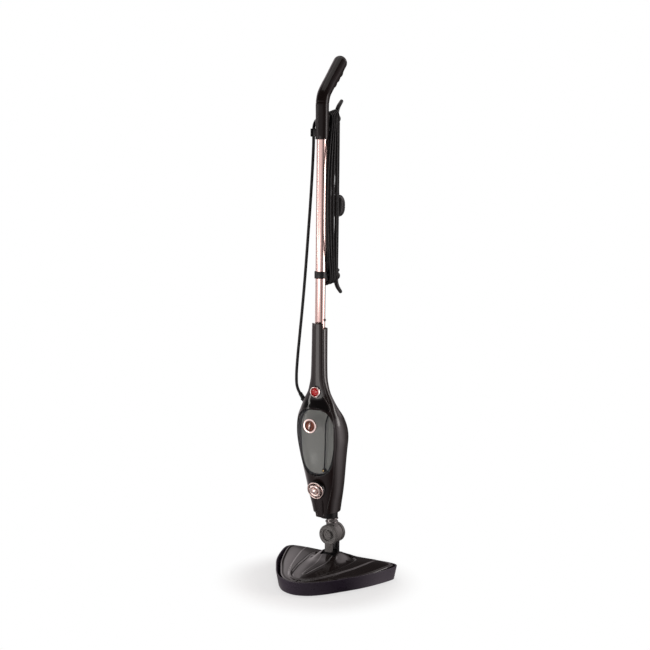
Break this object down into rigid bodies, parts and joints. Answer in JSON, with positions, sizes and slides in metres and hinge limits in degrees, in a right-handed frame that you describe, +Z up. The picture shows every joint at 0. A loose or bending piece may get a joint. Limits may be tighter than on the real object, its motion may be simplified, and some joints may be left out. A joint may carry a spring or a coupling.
{
  "type": "steam mop",
  "caption": "Upright corded steam mop parked in its carpet glider, with a front water tank, steam knob, straight pole, angled grip and cord wound on two turning hooks.",
  "frame": {"origin": "on the floor, under the middle of the carpet glider", "axes": "+X is to the right seen from the front, -Y is the front, where the tank and knob are, and +Z is up"},
  "size_m": [0.2822, 0.2307, 1.1416],
  "materials": {
    "body_gloss": "gloss",
    "black_plastic": "satin",
    "tray_plastic": "satin",
    "grey_plastic": "fine texture",
    "rose_gold": "anodised gloss",
    "bright_chrome": "polished",
    "plain_steel": "brushed",
    "cast_alloy": "as cast",
    "valve_brass": "machined",
    "smoked_tank": "smoked clear plastic",
    "red_lens": "gloss",
    "black_rubber": "satin",
    "pale_silicone": "satin",
    "pad_cloth": "microfibre",
    "circuit_board": "solder mask"
  },
  "bodies": {
    "glider": {"glider_tray": "tray_plastic"},
    "head": {"head_cover": "body_gloss", "sole_plate": "black_plastic", "mop_pad": "pad_cloth", "hook_strip": "black_rubber", "tilt_saddle": "black_plastic", "tilt_pin": "plain_steel", "steam_distributor": "pale_silicone", "head_screw_left": "plain_steel", "head_screw_right": "plain_steel"},
    "neck": {"neck_fork": "grey_plastic", "knuckle_pin": "grey_plastic"},
    "cap_insert": {"cap_seal": "pale_silicone"},
    "filler_cap": {"cap_ring": "rose_gold", "cap_core": "rose_gold"},
    "knob": {"steam_knob": "rose_gold", "knob_cap": "rose_gold"},
    "button": {"power_button": "red_lens"},
    "snap": {"snap_button": "bright_chrome"},
    "top_hook": {"upper_hook": "black_plastic"},
    "bottom_hook": {"lower_hook": "black_plastic"},
    "main": {"neck_tongue": "grey_plastic", "neck_rings": "bright_chrome", "neck_socket": "black_plastic", "front_shell": "body_gloss", "rear_shell": "body_gloss", "body_screw_1": "plain_steel", "body_screw_2": "plain_steel", "body_screw_3": "plain_steel", "body_screw_4": "plain_steel", "water_tank": "smoked_tank", "tank_outlet": "pale_silicone", "knob_bezel": "rose_gold", "steam_valve": "valve_brass", "button_ring": "bright_chrome", "switch_housing": "black_plastic", "boiler": "cast_alloy", "thermostat": "plain_steel", "water_pump": "black_plastic", "pump_mounts": "black_rubber", "control_board": "circuit_board", "inlet_hose": "pale_silicone", "pressure_hose": "pale_silicone", "steam_hose": "pale_silicone", "cord_clamp": "black_plastic", "pole": "rose_gold", "snap_spring": "plain_steel", "handle": "body_gloss", "cord_clip": "black_plastic", "upper_hook_arm": "black_plastic", "lower_hook_arm": "black_plastic", "cord_gland": "black_rubber", "cord_run": "black_rubber", "cord_hank": "black_rubber", "cord_tail": "black_rubber", "plug_body": "black_plastic", "plug_pin_low": "plain_steel", "plug_pin_high": "plain_steel", "plug_relief": "black_rubber"}
  },
  "joints": [
    {"name": "head_lift", "type": "slide", "parent": "glider", "child": "head", "axis": [0, 0, 1], "range_m": [0, 0.05]},
    {"name": "head_tilt", "type": "hinge", "parent": "head", "child": "neck", "pos_m": [0, 0.06, 0.04], "axis": [-1, 0, 0], "range_deg": [0, 62]},
    {"name": "neck_swivel", "type": "hinge", "parent": "neck", "child": "main", "pos_m": [0, 0.06, 0.094], "axis": [0, 1, 0], "range_deg": [-60, 60]},
    {"name": "cap_lift", "type": "slide", "parent": "main", "child": "cap_insert", "axis": [0, -1, 0], "range_m": [0, 0.03]},
    {"name": "cap_turn", "type": "hinge", "parent": "cap_insert", "child": "filler_cap", "pos_m": [0, -0.04, 0.357], "axis": [0, -1, 0], "range_deg": [0, 90]},
    {"name": "knob_turn", "type": "hinge", "parent": "main", "child": "knob", "pos_m": [0, -0.009, 0.211], "axis": [0, -0.9703, -0.2419], "range_deg": [0, 270]},
    {"name": "button_press", "type": "slide", "parent": "main", "child": "button", "axis": [0, 1, 0], "range_m": [0, 0.003], "stiffness_N_per_m": 900, "springref_m": -0.001},
    {"name": "snap_press", "type": "slide", "parent": "main", "child": "snap", "axis": [-1, 0, 0], "range_m": [0, 0.003], "stiffness_N_per_m": 900, "springref_m": -0.001},
    {"name": "upper_hook_turn", "type": "hinge", "parent": "main", "child": "top_hook", "pos_m": [0, 0.056, 1.01], "axis": [0, 1, 0], "range_deg": [0, 180]},
    {"name": "lower_hook_turn", "type": "hinge", "parent": "main", "child": "bottom_hook", "pos_m": [0, 0.062, 0.672], "axis": [0, 1, 0], "range_deg": [0, 180]}
  ]
}
